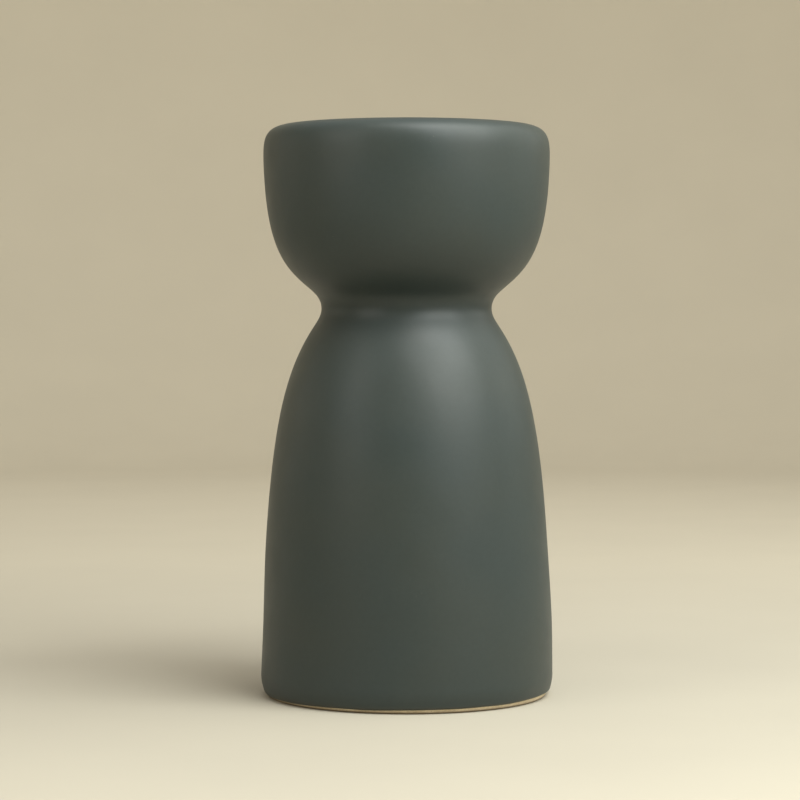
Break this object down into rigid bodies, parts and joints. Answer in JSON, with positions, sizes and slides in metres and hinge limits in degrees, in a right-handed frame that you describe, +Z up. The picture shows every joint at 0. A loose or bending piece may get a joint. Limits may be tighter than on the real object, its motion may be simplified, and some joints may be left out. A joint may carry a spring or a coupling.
{
  "type": "ceramic bud vase",
  "caption": "Free-standing ceramic bud vase: tall domed body, narrow waist and cup-shaped mouth with a rolled-in lip, matte slate-green glaze, bare clay foot.",
  "frame": {"origin": "centre of the plane that the foot ring rests on", "axes": "+Z up along the axis of revolution, +X and +Y level; the vase looks the same from every side"},
  "size_m": [0.077, 0.077, 0.15],
  "materials": {
    "bare_stoneware": "matte",
    "outer_glaze": "satin",
    "liner_glaze": "satin"
  },
  "bodies": {
    "root": {"stoneware_body": "bare_stoneware", "outer_glaze": "outer_glaze", "liner_glaze": "liner_glaze"}
  },
  "joints": []
}
